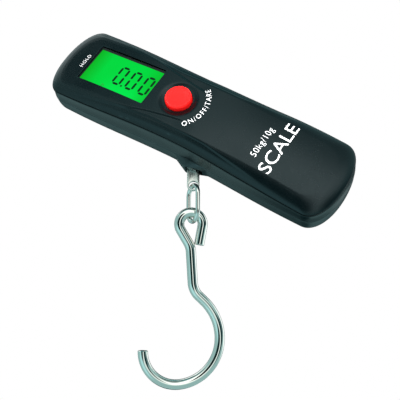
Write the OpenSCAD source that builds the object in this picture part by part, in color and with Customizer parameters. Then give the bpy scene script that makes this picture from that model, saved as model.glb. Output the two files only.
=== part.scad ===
// Digital hanging scale: a hand-sized casing with a lit display, one button
// and a load cell, and a strap, link and hook below it that carry the catch.
// Frame: origin at the centre of the casing on its parting plane, the plane
// where the front and rear shells meet. +X runs along the casing away from
// the display end, -Y is the display side and +Z is up, away from the hook.
// The joints' zero is a casing held nose up, with the hook hanging plumb.

/* [Casing] */
// Length of the casing along X
case_len = 143; // [138:0.5:150]
// Half width at the display end
display_half_w = 19; // [18:0.1:20]
// Half width at the waist
waist_half_w = 17.2; // [16:0.1:18]
// Half width at the battery end
battery_half_w = 18.9; // [18:0.1:20]
// Depth of the front shell at mid length
front_depth = 13.4; // [13:0.1:15]
// How far the front face falls away towards each end
face_arch = 6.6; // [4:0.1:6.8]
// Depth of the rear shell
rear_depth = 9.4; // [9.4:0.1:11]
// Wall thickness of both shells
wall = 1.8; // [1.5:0.1:2]

/* [Display] */
// Centre of the display along X
display_x = -38.7; // [-40:0.1:-37]
// Visible length of the display
display_len = 35; // [32:0.5:36]
// Visible height of the display
display_h = 17.8; // [16:0.1:18]
// Depth of the display glass behind the face
display_recess = 1.1; // [0.9:0.1:1.3]

/* [Button] */
// Centre of the power button along X
button_x = -7.6; // [-9:0.1:-6]
// Radius of the power button
button_r = 5.8; // [5.5:0.1:6.2]
// Height of the power button above the face
button_rise = 1.8; // [1.4:0.1:2.4]

/* [Hanger] */
// Position of the strap pin along X
hanger_x = 8.6; // [8.4:0.1:8.8]
// Middle plane of the strap and load cell
hanger_y = 4.8; // [4.7:0.1:4.9]
// Height of the strap pin
pin_z = -17.25; // [-17.4:0.05:-17.1]
// Length of the strap between its two holes
strap_len = 8.75; // [8.5:0.05:11]
// Lean of the strap towards +X at rest
strap_lean = 33.4; // [30:0.1:34]

/* [Link and hook] */
// Radius of the link's wire
link_wire_r = 0.95; // [0.8:0.05:0.95]
// Radius of the link's bends to the wire's centre
link_bend_r = 4.2; // [4.2:0.1:4.4]
// Length of the link's straight sides
link_straight = 7; // [6:0.1:10]
// Radius of the hook's wire
hook_wire_r = 2.1; // [1.9:0.05:2.1]

/* [Hidden] */

$fn = 48;
eps = 0.01;
gap = 0.05;

// Casing outline
half_len = case_len / 2;
end_round = 9.6;
end_power = 2.15;
waist_share = 0.8;
mean_half_w = 18;
side_steps = 66;

// Hanger outlet on the underside of the rear shell: a wedge that grows along its
// flank from boss_x0 and is cut off by a floor slanting up towards +X
boss_x0 = -1;
boss_flank = 0.36;
floor_x = 5.4;
floor_low = 19.9;
floor_slope = 0.24;
mouth_x = [5.8, 13.4];
mouth_w = 4.6;

// Screws and their posts: [x, z]
case_posts = [[-64, 8], [-64, -8], [-14, 11.4], [-14, -11.4]];
board_posts = [[-60.2, 0], [-1, 6.6], [-1, -6.6]];
post_r = 2.4;
rear_post_r = 3;
board_post_r = 1.6;
case_screw_r = 1.2;
board_screw_r = 0.8;
screw_head_r = 2.3;
screw_head_h = 1.6;
counterbore_r = 2.6;
counterbore_y = 6;
post_root = 0.9;
case_post_root = 2.6;
mount_boss_r = 3.4;
mount_boss_h = 1.2;

// Circuit board
board_front = -4.6;
board_t = 1.6;
board_back = board_front + board_t;

// Display stack, measured back from the face in the display's own tilted frame
display_tilt = atan(2 * face_arch * display_x / pow(half_len, 2));
glass_t = 1.6;
light_t = 1.85;
stack_half_len = display_len / 2 + 1.1;
stack_half_h = display_h / 2 + 1.7;
frame_wall = 1;
// How far the window reaches past the display: towards -X and -Z, then +X and +Z
window_low = [0.8, 0.35];
window_high = [0.5, 1.4];
pocket_gap = 0.2;
pocket_depth = 4;

// Casing loops, inside first: [inset, share of the depth]
front_inside = [[6.4, 1], [4.2, 0.8], [2.6, 0.45], [wall, 0]];
front_outside = [
    [0, 0], [0.15, 0.35], [0.05, 0.67], [0.6, 0.74], [1.1, 0.82], [2, 0.91], [3.3, 0.97], [5, 1],
];
rear_inside = [[6, 1], [2.4, 0.7], [wall, 0]];
// The rear's outside also has its share of the hanger outlet
rear_outside = [
    [0, 0, 0], [0.05, 0.08, 0.5], [0.1, 0.2, 1.2], [0.5, 0.62, 1.3], [1.15, 0.82, 1.3],
    [1.85, 0.91, 0.7], [3.2, 1, 0.15],
];

// Button and switch
flange_r = 7.2;
flange_y = -11.1;
flange_t = 1;
button_gap = 0.2;
dish_spread = 4.6;
dish_depth = 0.6;
stem_y = -9.6;
plunger_r = 1.7;
switch_half = 3;
switch_top = -8.1;

// Load cell
cell_x0 = -46;
cell_x1 = 13;
cell_half_h = 6.35;
cell_half_t = 2.5;
cell_bore_r = 4;
cell_bores_x = [-20, -11];
cell_screws_x = [-41, -34];

// Clevis and strap
clevis_half_len = 2.5;
clevis_half_w = 2.1;
pin_r = 1;
strap_t = 1;
strap_half_w = 2.6;
strap_hole_r = 1.95;

// Cells in the battery bay
bay_x0 = 15.5;
bay_x1 = 64.9;
rib_x = [[13.8, 14.8], [65.1, 65.9]];
rib_half_w = 11;
cover_t = 1.6;
cover_gap = 0.2;
grip_pitch = 2;
grip_half_w = 7;
bay_half_w = 12;
cell_r = 5.25;
cell_y = 1.9;
cell_z = 5.35;
aaa_x0 = 17.6;
aaa_len = 44.5;
nub_len = 0.8;
plate_x = [[14.85, 15.2], [64.8, 65.05]];
plate_half = 4;
plate_half_w = 9.6;

// Directions of the chain at rest
link_lean = [31.6, 16.7];
link_twist = -34.7;
hook_lean = [30.2, 27.6];
hook_twist = -105.6;
link_seat = 0.05;
hook_seat = 0.3;

// Wire bending table of the hook: [feed, bend radius, bend angle]
hook_start = [2.7, 13.15];
hook_heading = -79.5;
hook_table = [
    [7.9, 4.9, -221],
    [6.1, 8.1, 27],
    [12.9, 8.2, -43],
    [3, 21, 49],
    [0, 18.5, 83],
    [0, 13.6, 96],
];

// ---- small vector helpers ----

function unit(v) = v / norm(v);

// Points down, leaning by lean[0] towards +X and lean[1] towards +Y
function lean_dir(lean) = unit([tan(lean[0]), tan(lean[1]), -1]);

// A direction square to d, turned by twist about d from the front side
function across(d, twist) =
    let (front = unit([0, -1, 0] + d.y * d), side = cross(d, front))
    cos(twist) * front + sin(twist) * side;

function lerp(a, b, t) = a + (b - a) * t;

function bezier(p, t) =
    len(p) == 1 ? p[0] : bezier([for (i = [0:len(p) - 2]) lerp(p[i], p[i + 1], t)], t);

// ---- swept wire ----

// One ring of points round p, square to the direction t
function wire_ring(p, t, ref, r, sides) =
    let (n = unit(cross(t, ref)), b = cross(n, t))
    [for (k = [0:sides - 1]) p + r * (cos(360 * k / sides) * n + sin(360 * k / sides) * b)];

// A solid through rings of equal size; closed joins the last ring to the first
module skin(rings, closed = false) {
    n = len(rings[0]);
    m = len(rings);
    last = closed ? m - 1 : m - 2;
    walls = [
        for (j = [0:last], i = [0:n - 1])
            let (a = j * n, b = ((j + 1) % m) * n, k = (i + 1) % n)
            each [[a + i, a + k, b + k], [a + i, b + k, b + i]]
    ];
    start_cap = [for (i = [0:n - 1]) n - 1 - i];
    end_cap = [for (i = [0:n - 1]) (m - 1) * n + i];
    polyhedron(
        points = [for (ring = rings) each ring],
        faces = closed ? walls : concat(walls, [start_cap, end_cap])
    );
}

// Round wire along a list of points, with one direction it never runs along
module wire(path, r, ref, sides = 12) {
    m = len(path);
    rings = [
        for (j = [0:m - 1])
            let (t = unit(path[min(j + 1, m - 1)] - path[max(j - 1, 0)]))
            wire_ring(path[j], t, ref, r, sides)
    ];
    skin(rings);
}

// Points and headings of a wire bent by a table of [feed, radius, angle]
function bend_path(table, p, th, i = 0) =
    i == len(table) ? [[p, th]] :
    let (
        feed = table[i][0],
        r = table[i][1],
        turn = table[i][2],
        q = p + feed * [cos(th), sin(th)],
        s = sign(turn),
        c = q + s * r * [-sin(th), cos(th)],
        steps = max(3, ceil(abs(turn) / 9)),
        arc = [
            for (k = [0:steps - 1])
                let (a = th + turn * k / steps)
                [c + s * r * [sin(a), -cos(a)], a]
        ],
        a_end = th + turn,
        p_end = c + s * r * [sin(a_end), -cos(a_end)]
    )
    concat(feed > 0 ? [[p, th]] : [], arc, bend_path(table, p_end, a_end, i + 1));

// ---- casing surface ----

// Distance of the front face from the parting plane
function face(x) = front_depth - face_arch * pow(x / half_len, 2);

// Half width of the casing, waisted at the middle and rounded at both ends
function half_w(x) =
    let (
        end_w = x < 0 ? display_half_w : battery_half_w,
        swell = pow(sin(90 * min(1, abs(x) / half_len / waist_share)), 2),
        d = min(1, (half_len - abs(x)) / end_round)
    )
    lerp(waist_half_w, end_w, swell) * pow(1 - pow(1 - d, end_power), 1 / end_power);

// X of station i of a side, closer together near the ends
function station(i) =
    let (s = 2 * i / side_steps - 1)
    half_len * (0.85 * sin(90 * s) + 0.15 * s);

// Depth of the outlet's slanting floor below the middle of the casing
function boss_floor(x) = floor_low - floor_slope * (x - floor_x);

// How far the hanger outlet stands out below the rear shell at x
function boss(x) = max(0, min(boss_flank * (x - boss_x0), boss_floor(x) - half_w(x)));

// One loop of the casing, inset from the outline. depth 0 is the parting plane
// and 1 the front or rear face. dir is -1 for the front and 1 for the rear
function loop(inset, depth, dir, skin_in = 0, outlet = 0) =
    let (
        kx = 1 - inset / half_len,
        kw = 1 - inset / mean_half_w,
        reach = function(x) (dir < 0 ? face(x) : rear_depth) - skin_in,
        low = function(x, z) outlet == 0 ? z : min(z, max(-boss_floor(x), z - outlet * boss(x)))
    )
    [
        for (i = [0:side_steps])
            let (x = kx * station(i))
            [x, dir * depth * reach(x), kw * half_w(station(i))],
        for (i = [side_steps - 1:-1:1])
            let (x = kx * station(i))
            [x, dir * depth * reach(x), low(x, -kw * half_w(station(i)))],
    ];

// A shell: its loops run from the inside of the face, round the rim, to the
// outside of the face, and each face is closed by strips across the casing
module shell(loops, flip) {
    n = 2 * side_steps;
    m = len(loops);
    walls = [
        for (j = [0:m - 2], i = [0:n - 1])
            let (a = j * n, b = a + n, k = (i + 1) % n)
            each [[a + i, a + k, b + k], [a + i, b + k, b + i]]
    ];
    strips = function(base) [
        for (i = [0:side_steps - 1])
            let (u0 = base + i, u1 = u0 + 1, l0 = base + (n - i) % n, l1 = base + n - i - 1)
            each i == 0 ? [[u0, l1, u1]]
                : i == side_steps - 1 ? [[u0, l0, u1]]
                : [[u0, l0, u1], [l0, l1, u1]]
    ];
    turned = function(list) [for (f = list) [f[2], f[1], f[0]]];
    all_faces = concat(walls, strips(0), turned(strips((m - 1) * n)));
    polyhedron(
        points = [for (l = loops) each l],
        faces = flip ? turned(all_faces) : all_faces
    );
}

// ---- placing helpers ----

// Draws a child standing along +Y from y0, at x and z
module along_y(x, y0, z) {
    translate([x, y0, z]) rotate([-90, 0, 0]) children();
}

// A box from its low corner to its high corner
module box(lo, hi) {
    translate(lo) cube(hi - lo);
}

// The display's own frame: origin on the face, Y into the casing
module display_frame() {
    translate([display_x, -face(display_x), 0]) rotate([0, 0, display_tilt]) children();
}

// ---- casing ----

module front_posts() {
    for (p = case_posts) {
        along_y(p.x, -face(p.x) + case_post_root, p[1])
            cylinder(h = face(p.x) - case_post_root - gap, r = post_r);
    }
    for (p = board_posts) {
        along_y(p.x, -face(p.x) + post_root, p[1])
            cylinder(h = face(p.x) - post_root + board_front - gap, r = board_post_r);
    }
}

module front_shell() {
    loops = concat(
        [for (p = front_inside) loop(p[0], p[1], -1, wall)],
        [for (p = front_outside) loop(p[0], p[1], -1)]
    );
    half = [display_len / 2, display_h / 2];
    low = -half - window_low;
    high = half + window_high;
    pocket = [stack_half_len + frame_wall + pocket_gap, stack_half_h + frame_wall + pocket_gap];
    color("#1c2324") difference() {
        union() {
            shell(loops, false);
            front_posts();
        }
        display_frame() {
            box([low.x, -3, low.y], [high.x, 3, high.y]);
            box([-pocket.x, display_recess - 0.03, -pocket.y], [pocket.x, pocket_depth, pocket.y]);
        }
        along_y(button_x, -face(button_x) - 2, 0) cylinder(h = 6, r = button_r + button_gap);
        along_y(button_x, -face(button_x) - dish_depth, 0)
            cylinder(h = 2 * dish_depth, r1 = button_r + dish_spread, r2 = button_r);
        for (p = case_posts) {
            along_y(p.x, -5, p[1]) cylinder(h = 6, r = case_screw_r + gap);
        }
        for (p = board_posts) {
            along_y(p.x, board_front - 3, p[1]) cylinder(h = 6, r = board_screw_r + gap);
        }
    }
}

module rear_posts() {
    for (p = case_posts) {
        along_y(p.x, 0, p[1]) cylinder(h = rear_depth - post_root, r = rear_post_r);
    }
    for (x = cell_screws_x) {
        along_y(x, hanger_y + cell_half_t, 0) cylinder(h = mount_boss_h, r = mount_boss_r);
    }
}

module bay_ribs() {
    for (x = rib_x) {
        box([x[0], -1.5, -rib_half_w], [x[1], rear_depth - 1, rib_half_w]);
    }
}

module rear_shell() {
    loops = concat(
        [for (p = rear_inside) loop(p[0], p[1], 1, wall)],
        [for (p = rear_outside) loop(p[0], p[1], 1, 0, p[2])]
    );
    color("#222b2c") difference() {
        union() {
            shell(loops, true);
            rear_posts();
            bay_ribs();
        }
        box([bay_x0, rear_depth - 4, -bay_half_w], [bay_x1, rear_depth + 1, bay_half_w]);
        box([mouth_x[0], hanger_y - mouth_w / 2, -floor_low - 1],
            [mouth_x[1], hanger_y + mouth_w / 2, -8]);
        for (p = case_posts) {
            along_y(p.x, -1, p[1]) cylinder(h = rear_depth + 2, r = case_screw_r + 0.2);
            along_y(p.x, counterbore_y, p[1]) cylinder(h = rear_depth, r = counterbore_r);
        }
        for (x = cell_screws_x) {
            along_y(x, hanger_y, 0) cylinder(h = rear_depth - 0.5 - hanger_y, r = 1.5 + gap);
        }
    }
}

module battery_cover() {
    x0 = bay_x0 + cover_gap;
    x1 = bay_x1 - cover_gap;
    z = bay_half_w - cover_gap;
    color("#1e2627") difference() {
        box([x0, rear_depth - cover_t, -z], [x1, rear_depth, z]);
        for (i = [1:5]) {
            translate([x1 - 2 - grip_pitch * i, rear_depth - grip_pitch / 4, -grip_half_w])
                cube([grip_pitch / 2, cover_t, 2 * grip_half_w]);
        }
    }
}

module casing_screws() {
    reach = 4.5;
    slot = [2.8, 0.6, 1];
    slot_depth = 0.8;
    color("silver") for (p = case_posts) {
        along_y(p.x, -reach, p[1]) cylinder(h = reach + counterbore_y, r = case_screw_r);
        along_y(p.x, counterbore_y, p[1]) difference() {
            cylinder(h = screw_head_h, r = screw_head_r);
            for (a = [0, 90]) {
                rotate([0, 0, a]) translate([-slot.x / 2, -slot.y / 2, screw_head_h - slot_depth])
                    cube(slot);
            }
        }
    }
}

// ---- display ----

module lcd_glass() {
    color("#16e23c") display_frame()
        box([-stack_half_len, display_recess, -stack_half_h],
            [stack_half_len, display_recess + glass_t, stack_half_h]);
}

module backlight_panel() {
    y0 = display_recess + glass_t + gap;
    color("#d8f5d0") display_frame()
        box([-stack_half_len, y0, -stack_half_h], [stack_half_len, y0 + light_t, stack_half_h]);
}

module lcd_frame() {
    x = stack_half_len + frame_wall;
    z = stack_half_h + frame_wall;
    inner = [stack_half_len + gap, 0, stack_half_h + gap];
    color("#e8e8e4") display_frame() difference() {
        box([-x, display_recess + 0.1, -z], [x, display_recess + glass_t + light_t, z]);
        box([-inner.x, 0, -inner.z], [inner.x, 8, inner.z]);
    }
}

// Flat ribbon from the back of the tilted display to the board
module lcd_ribbon() {
    half = 9;
    stack = display_recess + glass_t + light_t + 2 * gap;
    back = function(x) -face(display_x) + stack / cos(display_tilt) + x * tan(display_tilt);
    color("#c9a24a") translate([display_x, 0, -stack_half_h + 1]) linear_extrude(height = 0.3)
        polygon([
            [-half, back(-half)], [half, back(half)],
            [half, board_front - eps], [-half, board_front - eps],
        ]);
}

// ---- electronics ----

module circuit_board() {
    color("#1f6b3a") difference() {
        union() {
            box([-62.2, board_front, -4], [-58, board_back, 4]);
            box([-58.5, board_front, -12.5], [-19, board_back, 12.5]);
            box([-19.5, board_front, -8.6], [1.5, board_back, 8.6]);
        }
        for (p = board_posts) {
            along_y(p.x, board_front - 1, p[1]) cylinder(h = 4, r = board_screw_r + 0.15);
        }
    }
}

module board_components() {
    y = board_back + eps;
    color("#17191a") {
        along_y(-48, y, 6) cylinder(h = 1.3, r1 = 4, r2 = 3.4);
        box([-33, y, 7.6], [-25, y + 1.5, 11.6]);
        for (i = [0:5]) {
            box([-56 + 5 * i, y, -11], [-54 + 5 * i, y + 0.6, -9.8]);
        }
        box([-24, y, -12], [-21, y + 1.8, -8.6]);
        along_y(-53.5, y, -3) cylinder(h = 2.4, r = 2);
    }
}

module board_screws() {
    color("silver") for (p = board_posts) {
        along_y(p.x, board_front - 2.6, p[1]) cylinder(h = 2.6 + board_t + eps, r = board_screw_r);
        along_y(p.x, board_back + eps, p[1]) cylinder(h = 1.1, r = 1.5);
    }
}

module tact_switch() {
    color("#3a3d40") difference() {
        box([button_x - switch_half, switch_top, -switch_half],
            [button_x + switch_half, board_front - eps, switch_half]);
        along_y(button_x, switch_top - 1, 0) cylinder(h = 2.8, r = plunger_r + gap);
    }
}

module switch_plunger() {
    color("#f0efe8") along_y(button_x, stem_y + gap, 0) cylinder(h = 2.5, r = plunger_r);
}

module power_button() {
    top = face(button_x) + button_rise;
    profile = [
        [0, -stem_y], [2.2, -stem_y],
        [2.2, -flange_y - flange_t], [flange_r, -flange_y - flange_t],
        [flange_r, -flange_y], [button_r, -flange_y],
        [button_r, top - 0.9], [button_r - 0.25, top - 0.3], [button_r - 0.8, top],
        [button_r - 2.4, top - 0.2], [0, top - 0.35],
    ];
    color("#e02420") translate([button_x, 0, 0]) rotate([90, 0, 0])
        rotate_extrude() polygon(profile);
}

// ---- load path ----

module load_cell() {
    y0 = hanger_y - cell_half_t;
    color("#c8cccf") difference() {
        box([cell_x0, y0, -cell_half_h], [cell_x1, y0 + 2 * cell_half_t, cell_half_h]);
        for (x = cell_bores_x) {
            along_y(x, y0 - 1, 0) cylinder(h = 2 * cell_half_t + 2, r = cell_bore_r);
        }
        box([cell_bores_x[0], y0 - 1, -1], [cell_bores_x[1], y0 + 2 * cell_half_t + 1, 1]);
        for (x = cell_screws_x) {
            along_y(x, y0 - 1, 0) cylinder(h = 2 * cell_half_t + 2, r = 1.7);
        }
        translate([hanger_x, hanger_y, -10]) cylinder(h = 20, r = 1.65);
    }
}

module strain_gauges() {
    color("#d9a441") for (x = cell_bores_x, s = [-1, 1]) {
        translate([x, hanger_y, s * (cell_half_h + 0.1)]) cube([6, 3, 0.18], center = true);
    }
}

module gauge_wires() {
    for (s = [-1, 1]) {
        path = [
            [cell_bores_x[0] - 3.6, hanger_y, s * (cell_half_h + 0.6)],
            [cell_bores_x[0] - 9, hanger_y, s * (cell_half_h + 1.6)],
            [cell_bores_x[0] - 8, 1, s * (cell_half_h + 1.2)],
            [cell_bores_x[0] - 8, board_back + 0.05, s * (cell_half_h - 0.9)],
        ];
        color("#b03030") wire([for (i = [0:12]) bezier(path, i / 12)], 0.4, [0.9, 0.1, 0.1], 8);
    }
}

module load_cell_screws() {
    color("silver") for (x = cell_screws_x) {
        along_y(x, hanger_y - cell_half_t - eps, 0) cylinder(h = 6.3, r = 1.5);
        along_y(x, hanger_y - cell_half_t - 1.7, 0) cylinder(h = 1.69, r = 2.7);
    }
}

module load_clevis() {
    top = -cell_half_h - gap;
    bottom = pin_z - 1.5;
    slot_half = strap_t / 2 + 0.15;
    color("#aeb4b8") difference() {
        box([hanger_x - clevis_half_len, hanger_y - clevis_half_w, bottom],
            [hanger_x + clevis_half_len, hanger_y + clevis_half_w, top]);
        box([hanger_x - 5, hanger_y - slot_half, bottom - 1],
            [hanger_x + 5, hanger_y + slot_half, pin_z + strap_half_w + 0.4]);
        along_y(hanger_x, hanger_y - 4, pin_z) cylinder(h = 8, r = pin_r + 0.03);
        translate([hanger_x, hanger_y, -12.6]) cylinder(h = 8, r = 1.5 + gap);
    }
}

module clevis_screw() {
    color("silver") translate([hanger_x, hanger_y, 0]) {
        translate([0, 0, -12.4]) cylinder(h = 12.4 + cell_half_h + eps, r = 1.5);
        translate([0, 0, cell_half_h + eps]) cylinder(h = 2, r = 2.7, $fn = 6);
    }
}

module strap_pin() {
    color("silver") along_y(hanger_x, hanger_y - clevis_half_w + 0.1, pin_z)
        cylinder(h = 2 * clevis_half_w - 0.2, r = pin_r);
}

module hanger_strap() {
    color("#d5dadc") translate([hanger_x, hanger_y, pin_z]) rotate([0, -strap_lean, 0])
        rotate([90, 0, 0]) translate([0, 0, -strap_t / 2]) linear_extrude(height = strap_t)
            difference() {
                union() {
                    circle(r = strap_half_w);
                    translate([0, -strap_len]) circle(r = strap_half_w);
                    translate([-strap_half_w, -strap_len]) square([2 * strap_half_w, strap_len]);
                }
                circle(r = pin_r + 0.06);
                translate([0, -strap_len]) circle(r = strap_hole_r);
            }
}

// ---- link and hook ----

strap_dir = [sin(strap_lean), 0, -cos(strap_lean)];
link_dir = lean_dir(link_lean);
link_across = across(link_dir, link_twist);
link_top = [hanger_x, hanger_y, pin_z] + (strap_len + link_seat) * strap_dir;
link_foot = link_top + (2 * link_bend_r + link_straight) * link_dir;
hook_dir = lean_dir(hook_lean);
hook_across = across(hook_dir, hook_twist);
hook_drop = unit(hook_dir - (hook_dir * link_across) * link_across);
hook_top = link_foot - (link_wire_r + hook_wire_r + hook_seat) * hook_drop;

module oval_link() {
    steps = 10;
    bend = [for (k = [0:steps]) 180 * k / steps];
    flat = concat(
        [for (a = bend) [-link_bend_r * cos(a), link_bend_r * (1 - sin(a))]],
        [for (a = bend) [link_bend_r * cos(a), link_bend_r * (1 + sin(a)) + link_straight]]
    );
    n = len(flat);
    at = function(q) link_top + q.x * link_across + q.y * link_dir;
    normal = cross(link_across, link_dir);
    rings = [
        for (j = [0:n - 1])
            let (t = unit(at(flat[(j + 1) % n]) - at(flat[(j + n - 1) % n])))
            wire_ring(at(flat[j]), t, normal, link_wire_r, 16)
    ];
    color("#dfe4e6") skin(rings, closed = true);
}

module hook() {
    path = bend_path(hook_table, hook_start, hook_heading);
    normal = cross(hook_across, hook_dir);
    rings = [
        for (s = path)
            wire_ring(
                hook_top + s[0].x * hook_across + s[0].y * hook_dir,
                cos(s[1]) * hook_across + sin(s[1]) * hook_dir,
                normal, hook_wire_r, 20
            )
    ];
    color("#dfe4e6") skin(rings);
}

// ---- battery bay ----

module aaa_cell(flip) {
    body = aaa_len - nub_len;
    turn = flip ? 180 : 0;
    translate([aaa_x0 + aaa_len / 2, cell_y, 0]) rotate([0, turn, 0])
        translate([-aaa_len / 2, 0, 0]) rotate([0, 90, 0]) {
            cylinder(h = body, r = cell_r);
            translate([0, 0, body - eps]) cylinder(h = nub_len + eps, r = 1.9);
        }
}

module aaa_cells() {
    color("#b8862b") {
        translate([0, 0, cell_z]) aaa_cell(false);
        translate([0, 0, -cell_z]) aaa_cell(true);
    }
}

// Conical contact spring, wide end at x = 0
module contact_spring(length) {
    turns = 2.5;
    steps = 36;
    path = [
        for (i = [0:steps])
            let (u = i / steps, r = lerp(3.6, 2.2, u), a = 360 * turns * u)
            [0.35 + u * (length - 0.7), r * cos(a), r * sin(a)]
    ];
    wire(path, 0.3, [1, 0, 0], 8);
}

module spring_contacts() {
    left = plate_x[0][1] + gap;
    right = plate_x[1][0] - gap;
    color("silver") {
        translate([left, cell_y, cell_z]) contact_spring(aaa_x0 - left - gap);
        translate([right, cell_y, -cell_z]) rotate([0, 180, 0])
            contact_spring(right - aaa_x0 - aaa_len - gap);
    }
}

module plate_contacts() {
    near = plate_x[0];
    far = plate_x[1];
    color("#cfd3d5") {
        box([near[0], cell_y - plate_half, 1.2], [near[1], cell_y + plate_half, plate_half_w]);
        box([near[0], cell_y - plate_half, -plate_half_w], [near[1], cell_y + plate_half, -1.2]);
        box([far[0], cell_y - plate_half, -plate_half_w], [far[1], cell_y + plate_half, plate_half_w]);
    }
}

// Wires from the contacts, out round the board's screws, to the board
module battery_wires() {
    for (s = [-1, 1]) {
        path = [
            [14.95, cell_y - 4.5, s * 6],
            [12, cell_y - 8.2, s * 9],
            [4, board_back + 1.5, s * 13],
            [-7, board_back + 2.5, s * 12],
            [-10, board_back + 0.5, s * 7.4],
        ];
        color(s > 0 ? "#b01818" : "#202020")
            wire([for (i = [0:14]) bezier(path, i / 14)], 0.45, [0.1, 0.9, 0.1], 8);
    }
}

front_shell();
rear_shell();
battery_cover();
casing_screws();
lcd_glass();
backlight_panel();
lcd_frame();
lcd_ribbon();
circuit_board();
board_components();
board_screws();
tact_switch();
switch_plunger();
power_button();
load_cell();
strain_gauges();
gauge_wires();
load_cell_screws();
load_clevis();
clevis_screw();
strap_pin();
hanger_strap();
oval_link();
hook();
aaa_cells();
spring_contacts();
plate_contacts();
battery_wires();
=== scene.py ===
import math

import bmesh
import bpy
import numpy as np
from mathutils import Matrix, Vector

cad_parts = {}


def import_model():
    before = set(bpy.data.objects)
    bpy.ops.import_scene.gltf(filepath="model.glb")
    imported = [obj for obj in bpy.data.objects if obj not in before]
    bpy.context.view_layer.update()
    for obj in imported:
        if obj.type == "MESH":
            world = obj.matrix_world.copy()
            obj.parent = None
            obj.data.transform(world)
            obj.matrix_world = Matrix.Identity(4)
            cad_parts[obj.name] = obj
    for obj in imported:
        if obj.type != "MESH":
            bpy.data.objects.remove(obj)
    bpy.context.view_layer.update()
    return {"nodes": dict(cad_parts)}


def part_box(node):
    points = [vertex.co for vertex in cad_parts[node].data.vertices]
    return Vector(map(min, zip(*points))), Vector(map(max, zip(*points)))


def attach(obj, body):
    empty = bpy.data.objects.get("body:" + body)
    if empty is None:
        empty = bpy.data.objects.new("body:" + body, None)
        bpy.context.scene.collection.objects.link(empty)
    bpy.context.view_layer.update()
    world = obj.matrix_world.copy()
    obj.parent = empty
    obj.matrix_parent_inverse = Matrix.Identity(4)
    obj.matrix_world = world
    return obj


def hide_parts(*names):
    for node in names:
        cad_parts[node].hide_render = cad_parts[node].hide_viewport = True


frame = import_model()
MM = 0.001


# ---------------- dimensions

def node_box(name):
    """Low and high corner of a CAD node, in millimetres."""
    lo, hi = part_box(name)
    return np.array(lo) / MM, np.array(hi) / MM


SHELL_LO, SHELL_HI = node_box("front_shell")
REAR_LO, REAR_HI = node_box("rear_shell")
BUTTON_LO, BUTTON_HI = node_box("power_button")
COVER_LO, COVER_HI = node_box("battery_cover")
CELLS_LO, CELLS_HI = node_box("aaa_cells")

HALF_LEN = SHELL_HI[0]
FACE_DEPTH = 13.4
FACE_ARCH = 6.6
REAR_DEPTH = REAR_HI[1]
DISPLAY_HALF_W = 19.0
WAIST_HALF_W = 17.2
BATTERY_HALF_W = 18.9
MEAN_HALF_W = 18.0
WAIST_SHARE = 0.8
END_ROUND = 9.6
END_POWER = 2.15
WALL = 1.8

DISPLAY_X = -38.7
DISPLAY_LEN = 35.0
DISPLAY_H = 17.8
DISPLAY_RECESS = 1.1
# How far the window reaches past the display: towards -X, -Z, +X and +Z
WINDOW_PAST = (0.8, 0.35, 0.5, 1.4)
WINDOW_CORNER_R = 0.45
# The seven-segment figures: their middles and their foot from the display's middle
DIGITS_X = (0.0, 7.05, 14.2)
DIGIT_FOOT = -4.83
DIGIT_SIZE = (3.7, 9.15)
BAR_HALF_W = 0.54
BAR_GAP = 0.3
DOT_X = 3.33
DOT_HALF_W = 0.42
# Printed and lit figures stand this far off the display, so they never share its plane
LIFT = 0.002

BUTTON_X = (BUTTON_LO[0] + BUTTON_HI[0]) / 2
BUTTON_R = 5.8
BUTTON_TOP = -BUTTON_LO[1]
FLANGE_R = 7.2
FLANGE_Y = (10.1, 11.1)

# The relief of the face. The display panel and the face itself each end at a line at
# some distance from the middle, given at a few stations along X, and step down there
PANEL_LINE_X = [-60, -50, -38, -28, -17, -6, 6]
PANEL_LINE_Z = [17.4, 16.3, 15.2, 13.6, 11.0, 9.0, 7.4]
PANEL_STEP = 0.42
PANEL_FADE_IN = (-66, -46)
PANEL_FADE_OUT = (-4, 7)
FACE_LINE_X = [-60, -42, -26, -14, -2, 14, 26, 38]
FACE_LINE_Z = [15.5, 15.5, 14.0, 12.9, 13.0, 13.3, 14.7, 16.0]
FACE_STEP = 0.4
FACE_FADE_IN = (-68, -58)
FACE_FADE_OUT = (26, 42)
CROWN = 1.15
CROWN_HALF_W = 16
CROWN_FADE_IN = (-8, 34)
DISH_DEPTH = 0.62
DISH_R = (6.7, 9.0)

# The hanger outlet: a flank rising from BOSS_X0, a slanting floor and the strap's mouth
BOSS_X0 = -1.0
BOSS_FLANK = 0.36
FLOOR_X = 5.4
FLOOR_LOW = 19.9
FLOOR_SLOPE = 0.24
MOUTH_X = (5.8, 13.4)
MOUTH_W = 4.6

CASE_POSTS = [(-64, 8), (-64, -8), (-14, 11.4), (-14, -11.4)]
BOARD_POSTS = [(-60.2, 0), (-1, 6.6), (-1, -6.6)]
# How far the posts inside the front shell stay from the outside of the face
CASE_POST_GAP = 2.6
BOARD_POST_GAP = 0.9
COUNTERBORE_Y = 6.0
COUNTERBORE_R = 2.6

BAY_X = (15.5, 64.9)
BAY_HALF_W = 12.0
RIBS_X = [(13.8, 14.8), (65.1, 65.9)]
RIB_HALF_W = 11

HANGER = np.array([8.6, 4.8, -17.25])
STRAP_LEN = 8.75
STRAP_LEAN = math.radians(33.4)
STRAP_HALF_W = 2.6
STRAP_T = 1.0
PIN_HOLE_R = 1.06
LINK_HOLE_R = 1.95
STRAP_EDGE = 0.16

LINK_WIRE_R = 0.95
LINK_BEND_R = 4.2
LINK_STRAIGHT = 7.0
LINK_SEAT = 0.05
HOOK_WIRE_R = 2.1
HOOK_SEAT = 0.3

# Points round the casing's outline, and samples the outline is measured with
AROUND = 420
OUTLINE_SAMPLES = 6001


# ---------------- small helpers

def unit(v):
    return np.asarray(v, float) / np.linalg.norm(v)


def smooth(v, a, b):
    """0 at a, 1 at b and an S curve between."""
    t = np.clip((np.asarray(v, float) - a) / (b - a), 0, 1)
    return t * t * (3 - 2 * t)


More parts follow.
